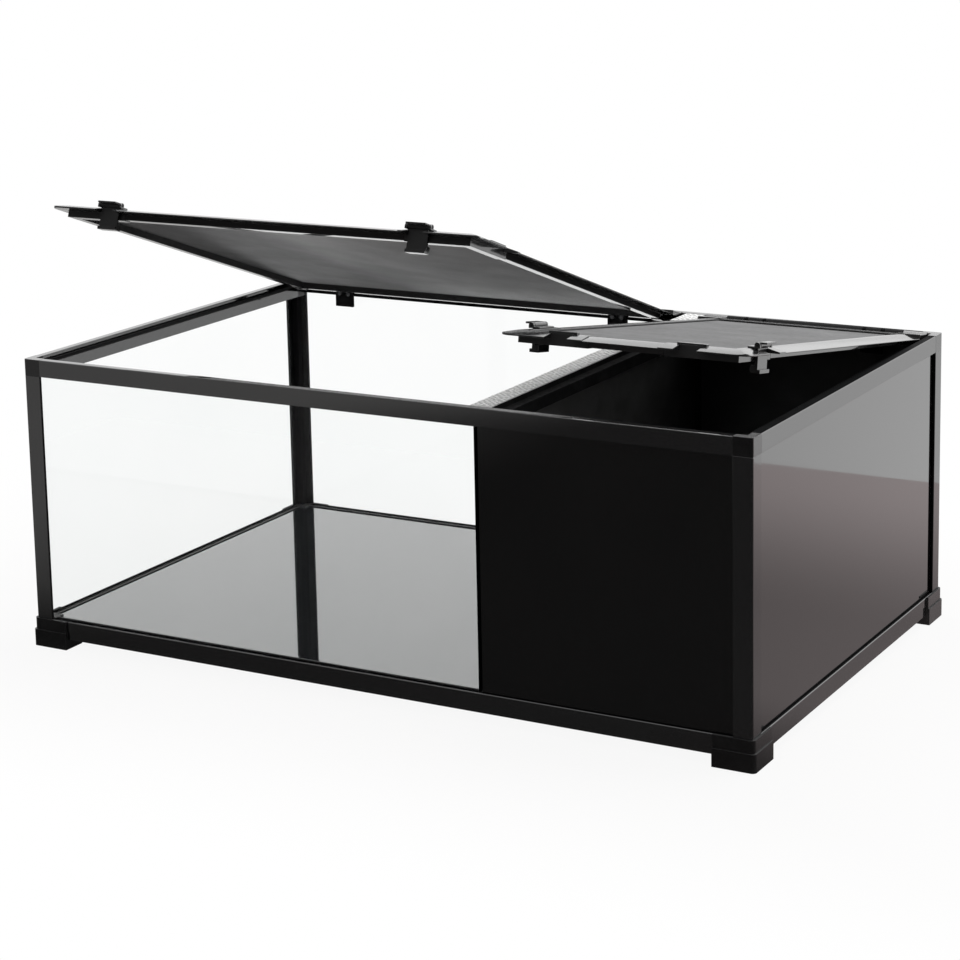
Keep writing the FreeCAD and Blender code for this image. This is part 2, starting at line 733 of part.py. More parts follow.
def lid_frame(name, x_low, x_high, angle, centres, places):
    skirt_low_x, skirt_high_x = f"({x_low} + lid_overhang)", f"({x_high} - lid_overhang)"
    inner_low, inner_high = f"({skirt_low_x} + bar_width)", f"({skirt_high_x} - bar_width)"
    arm_low, arm_high = f"({skirt_low_x} + corner_arm)", f"({skirt_high_x} - corner_arm)"
    pocket = (
        f"({inner_low} - screen_seat)",
        f"({FRONT_INNER} - screen_seat)",
        f"({inner_high} + screen_seat)",
        f"({BACK_INNER} + screen_seat)",
    )
    above = f"{FLANGE_TOP} + lid_height"
    pocket_tool = box(pocket[0], pocket[1], SEAT_LOW, pocket[2], pocket[3], above)
    front_chamber = (f"{FRONT_SKIRT} + bar_wall", f"{FRONT_INNER} - bar_wall")
    back_chamber = (f"{BACK_INNER} + bar_wall", f"{BACK_SKIRT} - bar_wall")
    left_chamber = (f"{skirt_low_x} + bar_wall", f"{inner_low} - bar_wall")
    right_chamber = (f"{inner_high} + bar_wall", f"{skirt_high_x} - bar_wall")
    bore = rod(f"{x_low} - 1", "0", "0", f"{x_high} + 1", "pin_radius + pin_clearance")

    def tilted(item, label):
        tilt(keep(item, f"{name}_{label}"), angle)

    front_bar = fuse(
        box(arm_low, FRONT_EDGE, FLANGE_LOW, arm_high, FRONT_INNER, FLANGE_TOP),
        box(arm_low, FRONT_SKIRT, SKIRT_LOW, arm_high, FRONT_INNER, FLANGE_LOW),
    )
    low_up, high_up = CHAMBER_UP
    front_hollow = box(arm_low, front_chamber[0], low_up, arm_high, front_chamber[1], high_up)
    front = (skirt_low_x, FRONT_SKIRT, (1, 0))
    tilted(cut(front_bar, pocket_tool, front_hollow, slope(front, "0")), "front_bar")

    gaps = [
        box(
            f"{start} - ear_clearance",
            f"{PLATE_FRONT} - 2 * ear_clearance",
            "-barrel_radius - 1",
            f"{end} + ear_clearance",
            "barrel_radius + 1",
            "barrel_radius + 1",
        )
        for centre in centres
        for start, end in ear_spans(centre)
    ]
    back_bar = fuse(
        rod(inner_low, "0", "0", inner_high, "barrel_radius"),
        box(inner_low, BACK_INNER, FLANGE_LOW, inner_high, "0", FLANGE_TOP),
        box(inner_low, BACK_INNER, SKIRT_LOW, inner_high, BACK_SKIRT, FLANGE_LOW),
    )
    back_hollow = box(inner_low, back_chamber[0], low_up, inner_high, back_chamber[1], high_up)
    tilted(cut(back_bar, pocket_tool, back_hollow, bore, *gaps), "back_bar")

    notches = {}
    for spot, station in places.items():
        low, high = f"{FLANGE_LOW} - 1", f"{CORNER_TOP} + 1"
        notches[spot] = group(box(f"-{CLIP_HALF}", "-lid_overhang - 1", low, CLIP_HALF, "0", high))
        turn(notches[spot], station, "0")
    corners = []
    for side, edge, skirt, inner, arm, chamber, run in (
        ("left", x_low, skirt_low_x, inner_low, arm_low, left_chamber, (0, -1)),
        ("right", x_high, skirt_high_x, inner_high, arm_high, right_chamber, (0, 1)),
    ):
        def across(start, end):
            return (start, end) if side == "left" else (end, start)

        flange_span, skirt_span = across(edge, inner), across(skirt, inner)
        long_flange, long_skirt = across(edge, arm), across(skirt, arm)
        side_bar = fuse(
            box(flange_span[0], ARM_BACK, FLANGE_LOW, flange_span[1], BACK_INNER, FLANGE_TOP),
            box(skirt_span[0], ARM_BACK, SKIRT_LOW, skirt_span[1], BACK_INNER, FLANGE_LOW),
        )
        side_hollow = box(chamber[0], ARM_BACK, low_up, chamber[1], BACK_INNER, high_up)
        beside = (skirt, FRONT_SKIRT, run)
        tilted(cut(side_bar, pocket_tool, side_hollow, slope(beside, "0")), f"{side}_bar")

        sign, away = ("+", "-") if side == "left" else ("-", "+")
        front_reach = across(arm, f"{arm} {sign} bar_spigot")
        back_reach = across(inner, f"{inner} {sign} bar_spigot")
        front_corner = fuse(
            box(long_flange[0], FRONT_EDGE, FLANGE_LOW, long_flange[1], FRONT_INNER, CORNER_TOP),
            box(flange_span[0], FRONT_INNER, FLANGE_LOW, flange_span[1], ARM_BACK, CORNER_TOP),
            box(long_skirt[0], FRONT_SKIRT, CORNER_LOW, long_skirt[1], FRONT_INNER, FLANGE_LOW),
            box(skirt_span[0], FRONT_INNER, CORNER_LOW, skirt_span[1], ARM_BACK, FLANGE_LOW),
            bar_spigot(front_reach, snug(front_chamber)),
            bar_spigot(snug(chamber), (ARM_BACK, f"{ARM_BACK} + bar_spigot")),
        )
        back_corner = fuse(
            rod(flange_span[0], "0", "0", flange_span[1], "barrel_radius"),
            box(flange_span[0], BACK_INNER, FLANGE_LOW, flange_span[1], "0", CORNER_TOP),
            box(skirt_span[0], BACK_INNER, CORNER_LOW, skirt_span[1], BACK_SKIRT, FLANGE_LOW),
            bar_spigot(back_reach, snug(back_chamber)),
            bar_spigot(snug(chamber), (f"{BACK_INNER} - bar_spigot", BACK_INNER)),
        )
        shaping = (
            slope(front, "corner_rise"),
            slope(beside, "corner_rise"),
            flange_corner(*across(f"{edge} {away} 1", skirt), skirt),
            notches[f"front_{side}"],
            notches[f"side_{side}"],
        )
        corners.append(cut(front_corner, pocket_tool, *shaping))
        corners.append(cut(back_corner, pocket_tool, bore))
    tilted(group(*corners), "corner_pieces")

    margin = [
        f"{pocket[0]} + screen_clearance",
        f"{pocket[1]} + screen_clearance",
        f"{pocket[2]} - screen_clearance",
        f"{pocket[3]} - screen_clearance",
    ]
    screen_top = f"({SEAT_LOW} + screen_thickness)"
    tilted(screen_grid(margin, screen_top, SCREEN_COLUMNS[name]), "screen")
    ring = box(margin[0], margin[1], screen_top, margin[2], margin[3], f"{screen_top} + spline_height")
    hole = box(
        f"{margin[0]} + spline_width",
        f"{margin[1]} + spline_width",
        f"{screen_top} - 1",
        f"{margin[2]} - spline_width",
        f"{margin[3]} - spline_width",
        above,
    )
    tilted(cut(ring, hole), "screen_spline")


def clip_bracket(station, holds_clip):
    """Bridge behind a clip's notch; where it holds a clip, an ear at each end for the clip's pin."""
    outer = f"({CLIP_HALF} + clip_ear)"
    back = "clip_gap + clip_bridge_depth"
    top = f"{CORNER_TOP} + clip_bridge"
    bridge = box(f"-{outer}", "clip_gap", CORNER_TOP, outer, back, top)
    if not holds_clip:
        item = group(bridge)
        turn(item, station, "0")
        return item
    solids = [bridge]
    for low, high in ((f"-{outer}", f"-{CLIP_HALF}"), (CLIP_HALF, outer)):
        ear_front, ear_back = f"{CLIP_Y} - clip_barrel", f"{CLIP_Y} + clip_barrel"
        solids.append(box(low, ear_front, CORNER_TOP, high, back, top))
        solids.append(box(low, ear_front, CORNER_TOP, high, ear_back, CLIP_Z))
        solids.append(rod(low, CLIP_Y, CLIP_Z, high, "clip_barrel"))
    hole = rod(f"-{outer} - 1", CLIP_Y, CLIP_Z, f"{outer} + 1", "pin_radius + pin_seat")
    item = cut(fuse(*solids), hole)
    turn(item, station, "0")
    return item


def clip_pin(station):
    reach = f"({CLIP_HALF} + clip_ear)"
    item = group(rod(f"-{reach}", CLIP_Y, CLIP_Z, reach, "pin_radius"))
    turn(item, station, "0")
    return item


def clip(station):
    """Barrel on the pin, shank down through the notch, nose and heel at its foot, thumb tab at its head."""
    left, right = "-clip_width / 2", "clip_width / 2"
    low = f"{CLIP_Z} - clip_reach"
    head = f"{CLIP_Z} + clip_barrel"
    solid = fuse(
        rod(left, CLIP_Y, CLIP_Z, right, "clip_barrel"),
        box(left, CLIP_Y, low, right, f"{CLIP_Y} + clip_shank", CLIP_Z),
        box(left, f"{CLIP_Y} - clip_nose", low, right, CLIP_Y, f"{low} + clip_nose_height"),
        box(left, CLIP_Y, low, right, f"{CLIP_Y} + clip_heel", f"{low} + clip_heel_height"),
        box(left, f"{CLIP_Y} - clip_tab", f"{head} - clip_tab_thickness", right, CLIP_Y, head),
    )
    item = cut(solid, rod(f"{left} - 1", CLIP_Y, CLIP_Z, f"{right} + 1", "pin_radius + pin_clearance"))
    turn(item, station, "0")
    return item


# The left lid's clips stand on its front, the right lid's on its sides; the other brackets are bare bridges
CLIP_SPOTS = {"left_lid": ("front_left", "front_right"), "right_lid": ("side_left", "side_right")}


def lid_clips(name, angle, places):
    spots = CLIP_SPOTS[name]
    used = [places[spot] for spot in spots]
    brackets = group(*[clip_bracket(station, spot in spots) for spot, station in places.items()])
    tilt(keep(brackets, f"{name}_clip_brackets"), angle)
    tilt(keep(group(*[clip_pin(station) for station in used]), f"{name}_clip_pins"), angle)
    for side, station in zip(("left", "right"), used):
        tilt(keep(group(clip(station)), f"{name}_{side}_clip"), angle)


SCREW_Z = "(-barrel_radius - seat_gap - (back_rail_height - rebate_depth) / 2)"


def screw_places(centre):
    return (f"{centre} - screw_spacing / 2", f"{centre} + screw_spacing / 2")


def hinge_bracket(centre):
    """Plate on the inner face of the back rail, with an ear at each end that carries the pin."""
    left, right = f"{centre} - bracket_width / 2", f"{centre} + bracket_width / 2"
    low = "(-barrel_radius - seat_gap)"
    high = f"{low} + bracket_arm"
    solids = [box(left, PLATE_FRONT, f"{PLATE_TOP} - bracket_drop", right, PLATE_BACK, PLATE_TOP)]
    for start, end in ear_spans(centre):
        solids.append(box(start, PLATE_FRONT, PLATE_TOP, end, PLATE_BACK, high))
        solids.append(box(start, PLATE_BACK, low, end, "ear_radius", high))
        solids.append(box(start, "-ear_radius", low, end, "ear_radius", "0"))
        solids.append(rod(start, "0", "0", end, "ear_radius"))
    holes = [rod(f"{left} - 1", "0", "0", f"{right} + 1", "pin_radius + pin_seat")]
    for place in screw_places(centre):
        holes.append(rod_back(place, f"{PLATE_FRONT} - 1", SCREW_Z, PLATE_BACK, "screw_radius + pin_seat"))
    return cut(fuse(*solids), *holes)


def hinge_pin(centre):
    reach = "(bracket_width / 2 + pin_overhang)"
    return rod(f"{centre} - {reach}", "0", "0", f"{centre} + {reach}", "pin_radius")


def hinge_screw(place):
    return fuse(
        rod_back(place, f"{PLATE_FRONT} - screw_head", SCREW_Z, PLATE_FRONT, "screw_head_radius"),
        rod_back(place, PLATE_FRONT, SCREW_Z, f"{PLATE_FRONT} + screw_length", "screw_radius"),
    )


def hinges(centres):
    places = [place for centre in centres for place in screw_places(centre)]
    for label, items in (
        ("hinge_brackets", [hinge_bracket(centre) for centre in centres]),
        ("hinge_pins", [hinge_pin(centre) for centre in centres]),
        ("hinge_screws", [hinge_screw(place) for place in places]),
    ):
        set_place(keep(group(*items), label), "0", HINGE_Y, HINGE_Z)


top_rails()
bottom_rails()
posts()
top_caps()
feet()
panels()
floor()
divider()
hinge_centres = []
for lid, (lid_left, lid_right, lid_angle, hinge_inset, clip_along) in LIDS.items():
    lid_centres = (f"({lid_left} + {hinge_inset})", f"({lid_right} - {hinge_inset})")
    clip_places = stations(lid_left, lid_right, clip_along)
    lid_frame(lid, lid_left, lid_right, lid_angle, lid_centres, clip_places)
    lid_clips(lid, lid_angle, clip_places)
    hinge_centres.extend(lid_centres)
hinges(hinge_centres)

doc.recompute()
for item in doc.Objects:
    if "Invalid" in item.State or "Error" in item.State:
        raise RuntimeError(f"{item.Name} ({item.Label}) failed: {item.State}")
os.makedirs("parts", exist_ok=True)
for item in NODES:
    if item.Shape.isNull() or not item.Shape.isValid():
        raise RuntimeError(f"{item.Label} has no valid shape")
for item in NODES:
    item.Shape.exportStep(f"parts/{item.Label}.step")
    print(item.Label, len(item.Shape.Solids), round(item.Shape.Volume), item.Shape.BoundBox)
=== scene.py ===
import json
import math
import random

import bmesh
import bpy
from mathutils import Matrix, Vector

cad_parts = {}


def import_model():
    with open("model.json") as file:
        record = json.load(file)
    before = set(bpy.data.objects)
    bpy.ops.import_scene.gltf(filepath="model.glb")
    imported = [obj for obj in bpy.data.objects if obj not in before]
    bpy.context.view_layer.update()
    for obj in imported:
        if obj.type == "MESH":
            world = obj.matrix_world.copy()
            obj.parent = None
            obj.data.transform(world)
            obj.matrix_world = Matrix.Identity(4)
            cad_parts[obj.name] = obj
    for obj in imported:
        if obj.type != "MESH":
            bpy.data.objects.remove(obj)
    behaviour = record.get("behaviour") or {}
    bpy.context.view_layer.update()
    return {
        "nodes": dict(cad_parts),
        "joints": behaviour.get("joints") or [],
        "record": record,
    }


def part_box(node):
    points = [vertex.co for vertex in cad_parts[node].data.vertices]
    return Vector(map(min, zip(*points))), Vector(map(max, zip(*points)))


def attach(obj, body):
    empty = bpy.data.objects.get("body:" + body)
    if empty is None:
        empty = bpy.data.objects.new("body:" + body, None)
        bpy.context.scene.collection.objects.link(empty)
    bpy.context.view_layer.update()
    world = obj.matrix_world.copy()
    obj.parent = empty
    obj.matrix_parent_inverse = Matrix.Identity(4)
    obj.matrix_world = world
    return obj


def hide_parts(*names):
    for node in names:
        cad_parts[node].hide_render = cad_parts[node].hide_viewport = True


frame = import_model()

NODES = frame["nodes"]
SLOTS = {entry["node"]: entry["material_slot"] for entry in frame["record"]["subparts"]}
LIDS = ("left_lid", "right_lid")

# Lengths are in metres, and MM is a millimetre
MM = 0.001

# Camera: where it stands, and how it is turned and framed
CAMERA_PLACE = Vector((1385.1, -2464.0, 936.6)) * MM
CAMERA_AZIMUTH = math.radians(29.46)
CAMERA_ELEVATION = math.radians(10.28)
CAMERA_ROLL = math.radians(1.157)
CAMERA_LENS = 92.61
CAMERA_SHIFT = -0.2083
CAMERA_REACH = 50.0
SENSOR_WIDTH = 36.0

# Platform: its edges and finish, the share of white in the tank's shadow, and where the shadow fades out
PLATFORM_BACK = 0.86
PLATFORM_REACH = 4.0
PLATFORM_COLOUR = (0.62, 0.58, 0.57)
PLATFORM_ROUGHNESS = 0.9
SHADOW_WHITE = 0.92
SHADOW_FADE_X = (0.45, 1.1)
SHADOW_FADE_Y = (0.3, 0.7)

# Platform in reflections, where it glows as a painted reflection: the strength of each glow, and the
# places between which it comes in
BASE_GLOW = 0.03
NEAR_GLOW = 0.22
NEAR_STRETCH = (-0.33, -0.05)
FAR_GLOW = 0.31
FAR_STRETCH = (0.2, 0.84)
CORNER_GLOW = 0.16
CORNER_STRETCH_X = (-0.9, -0.3)
CORNER_STRETCH_Y = (-0.5, -0.3)
PALE_GLOW = (1.0, 0.99, 0.98)
WARM_GLOW = (1.0, 0.88, 0.88)
WARM_STRETCH_X = (0.3, 0.45)
WARM_STRETCH_Y = (-0.45, -0.25)

# Surroundings: strength on each side, gain above the horizon, and the directions over which each comes in
FRONT_STRENGTH = 0.03
BACK_STRENGTH = 0.78
BACK_STRETCH = (-0.25, 0.4)
RAISED_GAIN = 1.35
RAISED_STRETCH = (0.02, 0.08)
LEFT_STRENGTH = 0.35
LEFT_STRETCH = (-0.9, -0.2)
SKY_STRENGTH = 0.6
SKY_STRETCH = (0.3, 0.9)

# Values of a noise between which most of it lies
NOISE_STRETCH = (0.3, 0.7)

# Shades of the two black coats; the lids' coat is lighter, as painted light on the lids' bars
FRAME_SHADES = (0.005, 0.011)
LID_LIT_SHADES = (0.020, 0.032)

# Roughness where a black surface isn't polished, and the scale of its patches
MATT = (0.5, 0.65)
MATT_SCALE = 30

# Wear along edges: the turn of the surface where it comes in, and the patches that break it up
WEAR_TURN = (0.75, 0.97)
WEAR_SCALE = 140
WEAR_LEVELS = (0.15, 1.0)
WEAR_STRETCH = (0.35, 0.65)
WEAR_SAMPLES = 4

# Depth of the skin that is glossy on top of the frame, and how soft its borders are
SKIN_DEPTH = 2.0 * MM
SKIN_BLUR = 0.5 * MM

# Where along the tank the gloss on top of the rails ends, over what length, and the gloss on the inside
TOP_END = 200 * MM
TOP_FADE = 100 * MM
INNER_GLOSS = 0.5
INNER_BLUR = 1.0 * MM

# Radius about the hinge axis that is matt on the lids
BARREL_REACH = 4.6 * MM
BARREL_BLUR = 0.5 * MM

# Parts of a face's normal between which it begins to look outward, inward, sideways or off the front
OUTWARD = (0.2, 0.5)
INWARD = (0.6, 0.8)
SIDEWAYS = (0.5, 0.8)
OFF_FRONT = (-0.8, -0.5)

# Edge breaks of the solids
WELD_REACH = 0.01 * MM
BREAK_ANGLE = math.radians(40)
BREAK_SEGMENTS = 2
EDGE_BREAK = {
    "frame_profile": 0.5 * MM,
    "lid_profile": 0.5 * MM,
    "moulded_black": 0.6 * MM,
    "dark_panel": 0.3 * MM,
    "floor_gloss": 0.3 * MM,
    "clear_glass": 0.3 * MM,
    "seal": 0.7 * MM,
    "steel": 0.3 * MM,
}

# Screen wires, how far each layer stands off the screen's middle in radii, and where along the tank the
# painted light on the wires' underside comes in
WIRE_PITCH = 2.0 * MM
WIRE_RADIUS = 0.30 * MM
WIRE_SIDES = 4
WIRE_OFFSET = 0.85
WIRE_UNDERLIGHT_FADE = (-280 * MM, -120 * MM)

# Grey strip: the share of its height that is flat, and its studs, in shares of a row, pitch or foot
STRIP_BASE = 0.5
STUD_PITCH = 7.5 * MM
STUD_ROWS = 6
STUD_HALF_X = 0.39
STUD_HALF_Y = 0.33
STUD_TOP = 0.75
STUD_STAGGER = 0.25
STUD_DRIFT_X = 0.1
STUD_DRIFT_Y = 0.2
STUD_SEED = 4

# Pieces of the tank that stay matt all over
DULL_NODES = ("hinge_brackets", "divider_channels", "divider_rail")


def grey(level, blue=0.0005):
    """Grey with a trace more blue in it, or less."""
    return level, level, level + blue


def joint_named(name):
    """Joint of the frame with this name."""
    return next(joint for joint in frame["joints"] if joint["name"] == name)


def lid_matrix(lid):
    """Frame of a lid: x along the hinge, y towards the back in the lid's plane, z out of its top."""
    hinge = joint_named(f"{lid}_hinge")
    lift = math.radians(-hinge["range_deg"][0])
    return Matrix.Translation(Vector(hinge["pos_m"])) @ Matrix.Rotation(-lift, 4, "X")


def local_box(node, matrix):
    """Lowest and highest corner of a node in another frame."""
    inverse = matrix.inverted()
    points = [inverse @ vertex.co for vertex in NODES[node].data.vertices]
    low = Vector([min(point[axis] for point in points) for axis in range(3)])
    high = Vector([max(point[axis] for point in points) for axis in range(3)])
    return low, high


def put_in_scene(name, data):
    """New object that shows a mesh, a camera or a lamp."""
    item = bpy.data.objects.new(name, data)
    bpy.context.scene.collection.objects.link(item)
    return item


class Tree:
    """A node tree, written one call to a node."""

    def __init__(self, tree):
        self.tree = tree

    def add(self, kind, **settings):
        node = self.tree.nodes.new(kind)
        for key, value in settings.items():
            setattr(node, key, value)
        return node

    def join(self, source, target):
        self.tree.links.new(source, target)

    def feed(self, value, target):
        """Set a socket to a number, or link it to another socket."""
        if isinstance(value, (int, float)):
            target.default_value = value
        else:
            self.join(value, target)

    def math(self, operation, first, second=0.0):
        node = self.add("ShaderNodeMath", operation=operation)
        self.feed(first, node.inputs[0])
        self.feed(second, node.inputs[1])
        return node.outputs["Value"]

    def spread(self, source, values, stretch=NOISE_STRETCH, smooth=False):
        """Numbers from the first value to the second, as the source crosses the stretch."""
        node = self.add("ShaderNodeMapRange")
        if smooth:
            node.interpolation_type = "SMOOTHSTEP"
        for end, place, value in zip(("Min", "Max"), stretch, values):
            node.inputs[f"From {end}"].default_value = place
            node.inputs[f"To {end}"].default_value = value
        self.join(source, node.inputs["Value"])
        return node.outputs["Result"]

    def parts(self, vector):
        """The x, y and z of a vector socket."""
        node = self.add("ShaderNodeSeparateXYZ")
        self.join(vector, node.inputs["Vector"])
        return node.outputs["X"], node.outputs["Y"], node.outputs["Z"]

    def dot(self, first, second):
        node = self.add("ShaderNodeVectorMath", operation="DOT_PRODUCT")
        self.join(first, node.inputs[0])
        self.join(second, node.inputs[1])
        return node.outputs["Value"]

    def sees_background(self):
        """1 for rays straight from the camera or through glass."""
        path = self.add("ShaderNodeLightPath")
        return self.math("MAXIMUM", path.outputs["Is Camera Ray"], path.outputs["Is Transmission Ray"])

    def mix_shader(self, share, first, second):
        node = self.add("ShaderNodeMixShader")
        self.feed(share, node.inputs["Fac"])
        self.join(first, node.inputs[1])
        self.join(second, node.inputs[2])
        return node.outputs["Shader"]


class Surface(Tree):
    """A material built round one principled shader."""

    def __init__(self, name):
        self.material = bpy.data.materials.new(name)
        self.material.use_nodes = True
        super().__init__(self.material.node_tree)
        self.shader = self.tree.nodes["Principled BSDF"]
        self.output = self.tree.nodes["Material Output"]
        coords = self.add("ShaderNodeTexCoord")
        self.place = coords.outputs["Object"]
        self.facing = coords.outputs["Normal"]

    def noise(self, scale, detail=4.0, stretch=(1, 1, 1)):
        mapping = self.add("ShaderNodeMapping")
        mapping.inputs["Scale"].default_value = stretch
        self.join(self.place, mapping.inputs["Vector"])
        node = self.add("ShaderNodeTexNoise")
        node.inputs["Scale"].default_value = scale
        node.inputs["Detail"].default_value = detail
        self.join(mapping.outputs["Vector"], node.inputs["Vector"])
        return node.outputs["Fac"]

    def blend(self, share, first, second):
        """Colour between two colours or colour sockets."""
        node = self.add("ShaderNodeMix", data_type="RGBA")
        self.feed(share, node.inputs["Factor"])
        for value, socket in ((first, node.inputs["A"]), (second, node.inputs["B"])):
            if isinstance(value, tuple):
                socket.default_value = (*value, 1)
            else:
                self.join(value, socket)
        return node.outputs["Result"]

    def between(self, share, first, second):
        """Number between two number sockets."""
        node = self.add("ShaderNodeMix", data_type="FLOAT")
        self.join(share, node.inputs["Factor"])
        self.join(first, node.inputs["A"])
        self.join(second, node.inputs["B"])
        return node.outputs["Result"]

    def cloud(self, scale, dark, light, stretch=(1, 1, 1)):
        """Colour that drifts between dark and light."""
        return self.blend(self.spread(self.noise(scale, stretch=stretch), (0.0, 1.0)), dark, light)

    def worn_edges(self, radius):
        """1 along outer edges, broken up by noise, 0 on the faces."""
        bevel = self.add("ShaderNodeBevel", samples=WEAR_SAMPLES)
        bevel.inputs["Radius"].default_value = radius
        facing = self.dot(bevel.outputs["Normal"], self.add("ShaderNodeNewGeometry").outputs["Normal"])
        edge = self.spread(facing, (1.0, 0.0), WEAR_TURN)
        patches = self.spread(self.noise(WEAR_SCALE), WEAR_LEVELS, WEAR_STRETCH)
        return self.math("MULTIPLY", edge, patches)

    def colour(self, source):
        self.join(source, self.shader.inputs["Base Color"])

    def rubbed_colour(self, body, bare, radius):
        """Body colour, rubbed bare along the outer edges."""
        self.colour(self.blend(self.worn_edges(radius), body, bare))

    def roughness(self, source):
        self.join(source, self.shader.inputs["Roughness"])

    def polish(self, share, gloss, coat=1.0):
        """Glossy under a clear coat where the share is 1, matt and uncoated where it is 0."""
        matt = self.spread(self.noise(MATT_SCALE), MATT)
        self.roughness(self.between(share, matt, gloss))
        self.join(self.math("MULTIPLY", share, coat), self.shader.inputs["Coat Weight"])

    def bump(self, source, strength, distance):
        node = self.add("ShaderNodeBump")
        node.inputs["Strength"].default_value = strength
        node.inputs["Distance"].default_value = distance
        self.join(source, node.inputs["Height"])
        self.join(node.outputs["Normal"], self.shader.inputs["Normal"])

    def value(self, **values):
        """Set the shader's own sockets, with _ for each space in a name."""
        for name, value in values.items():
            self.shader.inputs[name.replace("_", " ")].default_value = value


def skin_limits():
    """How far from the middle, and how high, the faces that are seen from outside the tank begin."""
    side_low, side_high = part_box("right_hide_panel")
    front_low, front_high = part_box("front_hide_panel")
    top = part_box("top_rail_front")[1].z
    return (side_low.x + side_high.x) / 2, -(front_low.y + front_high.y) / 2, top - SKIN_DEPTH


def outer_skin(made, top_end=None):
    """1 on faces that look out of the tank, 0 on those that look into it.

    On top the share fades out beyond top_end along the tank, where it is given.
    """
    places = made.parts(made.place)
    facings = made.parts(made.facing)
    shares = []
    for place, facing, limit in zip(places, facings, skin_limits()):
        borders = (limit - SKIN_BLUR, limit + SKIN_BLUR)
        far = made.spread(made.math("ABSOLUTE", place), (0.0, 1.0), borders)
        outward = made.math("MULTIPLY", facing, made.math("SIGN", place))
        shares.append(made.math("MULTIPLY", far, made.spread(outward, (0.0, 1.0), OUTWARD)))
    if top_end is not None:
        along = made.spread(places[0], (1.0, 0.0), (top_end, top_end + TOP_FADE))
        shares[2] = made.math("MULTIPLY", shares[2], along)
    return made.math("MAXIMUM", made.math("MAXIMUM", shares[0], shares[1]), shares[2])


def inner_side(made):
    """Part of the gloss on the faces of the top rails that look towards the hide end, 0 elsewhere."""
    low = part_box("top_rail_left")[0].z
    high = made.spread(made.parts(made.place)[2], (0.0, INNER_GLOSS), (low - INNER_BLUR, low))
    inward = made.spread(made.parts(made.facing)[0], (0.0, 1.0), INWARD)
    return made.math("MULTIPLY", inward, high)


def off_side(made):
    """0 on faces left of the divider that look to the hide end, 1 on the others."""
    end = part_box("divider_ribbed_strip")[0].x
    left = made.spread(made.parts(made.place)[0], (1.0, 0.0), (end - INNER_BLUR, end))
    side = made.spread(made.parts(made.facing)[0], (0.0, 1.0), SIDEWAYS)
    return made.math("SUBTRACT", 1.0, made.math("MULTIPLY", left, side))


def off_front(made):
    """0 on faces that look to the front, 1 on the others."""
    return made.spread(made.parts(made.facing)[1], (0.0, 1.0), OFF_FRONT)


def off_barrel(made):
    """0 on the hinge barrels of the lids, 1 away from them."""
    axis = Vector(joint_named("left_lid_hinge")["pos_m"])
    _, y, z = made.parts(made.place)
    behind = made.math("SUBTRACT", y, axis.y)
    above = made.math("SUBTRACT", z, axis.z)
    square = made.math("ADD", made.math("MULTIPLY", behind, behind), made.math("MULTIPLY", above, above))
    borders = (BARREL_REACH, BARREL_REACH + BARREL_BLUR)
    return made.spread(made.math("POWER", square, 0.5), (0.0, 1.0), borders)


def frame_polish(made):
    """Share of gloss on the rails and posts."""
    return made.math("MAXIMUM", outer_skin(made, TOP_END), inner_side(made))


def lid_polish(made):
    """Share of gloss on the lids' bars."""
    bright = made.math("MULTIPLY", off_front(made), off_side(made))
    return made.math("MULTIPLY", off_barrel(made), bright)


def gloss_coat(name, shades, rough, base_ior, coat_ior, polish_of):
    """Black coat on metal: faint orange peel, cloudy gloss, rubbed edges; matt where it isn't polished."""
    made = Surface(name)
    dark, light = shades
    body = made.cloud(14, grey(dark), grey(light), stretch=(0.25, 0.25, 1))
    made.rubbed_colour(body, grey(0.06, 0.002), radius=0.9 * MM)
    made.polish(polish_of(made), made.spread(made.noise(40), rough))
    made.bump(made.noise(700, detail=2), strength=0.05, distance=0.3 * MM)
    made.value(IOR=base_ior, Coat_IOR=coat_ior, Coat_Roughness=0.05)
    return made.material


def frame_coat():
    """Coat of the rails and posts."""
    return gloss_coat(
        "frame_coat", FRAME_SHADES, rough=(0.08, 0.16), base_ior=1.08, coat_ior=2.9, polish_of=frame_polish
    )


def lid_coat():
    """Coat of the lids' bars, lighter than the frame's as painted light."""
    return gloss_coat(
        "lid_coat", LID_LIT_SHADES, rough=(0.10, 0.18), base_ior=1.12, coat_ior=2.6, polish_of=lid_polish
    )


def moulded_plastic(name, coat_ior, polish_of):
    """Glossy black moulding with a fine grain and rubbed edges."""
    made = Surface(name)
    body = made.cloud(30, grey(0.006), grey(0.013))
    made.rubbed_colour(body, grey(0.09, 0.002), radius=0.8 * MM)
    made.polish(polish_of(made), made.spread(made.noise(120), (0.12, 0.22)), coat=0.6)
    made.bump(made.noise(2200, detail=3), strength=0.1, distance=0.3 * MM)
    made.value(IOR=1.7, Coat_IOR=coat_ior, Coat_Roughness=0.08)
    return made.material


def dull_moulding():
    """Matt black moulding with a coarse grain."""
    made = Surface("dull_moulding")
    body = made.cloud(40, grey(0.005), grey(0.012))
    made.rubbed_colour(body, grey(0.05, 0.002), radius=0.6 * MM)
    made.roughness(made.spread(made.noise(150), (0.5, 0.68)))
    made.bump(made.noise(1500, detail=3), strength=0.15, distance=0.3 * MM)
    made.value(IOR=1.12)
    return made.material


def polished_panel():
    """Black sheet, polished on its outer face and matt inside the hide, with faint smears."""
    made = Surface("polished_panel")
    made.colour(made.cloud(6, (0.0022, 0.0022, 0.0024), (0.0045, 0.0042, 0.0042)))
    smears = made.spread(made.noise(9, stretch=(1, 1, 0.3)), (0.03, 0.08))
    made.polish(outer_skin(made), smears)
    made.bump(made.noise(3.5, detail=1), strength=0.04, distance=2.0 * MM)
    made.value(IOR=1.8, Coat_IOR=1.7, Coat_Roughness=0.03)
    return made.material


